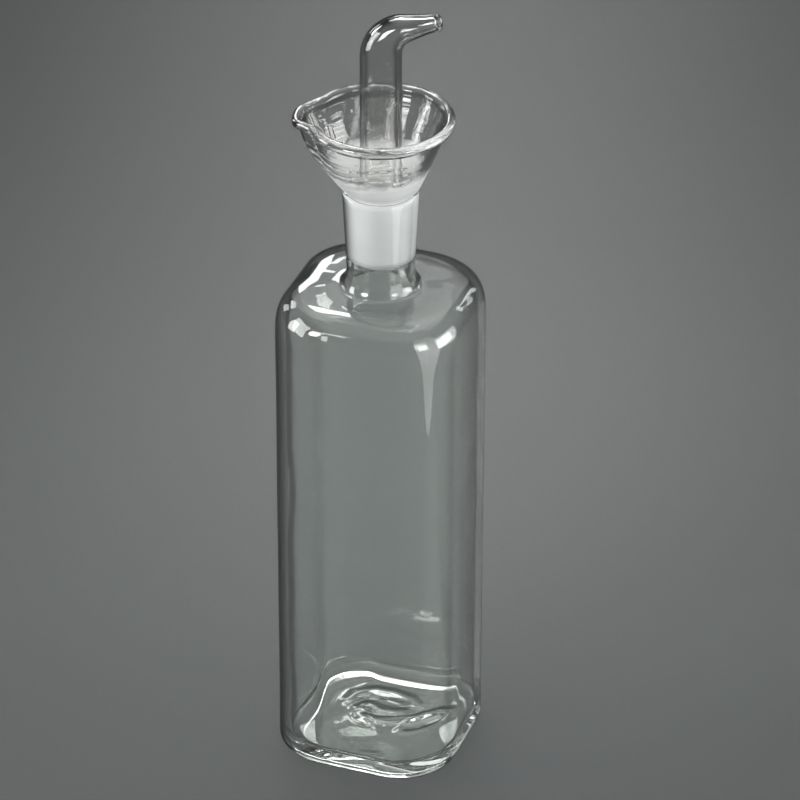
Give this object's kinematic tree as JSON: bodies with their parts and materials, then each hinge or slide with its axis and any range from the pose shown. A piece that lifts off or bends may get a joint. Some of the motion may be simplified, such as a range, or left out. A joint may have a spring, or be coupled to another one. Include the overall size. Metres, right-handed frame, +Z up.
{
  "type": "oil dispenser bottle",
  "caption": "Tall square clear glass bottle with rounded edges and a ground glass pourer: a catch cup with a lip round a bent spout.",
  "frame": {"origin": "middle of the foot, on the surface that the bottle stands on", "axes": "+Z up the bottle's axis, +X the way the spout points, sides square to X and Y"},
  "size_m": [0.062, 0.062, 0.274],
  "materials": {
    "bottle_glass": "clear, polished",
    "pourer_glass": "clear, polished",
    "ground_glass": "ground matt joint faces"
  },
  "bodies": {
    "root": {"bottle": "bottle_glass", "pourer": "pourer_glass"}
  },
  "joints": []
}
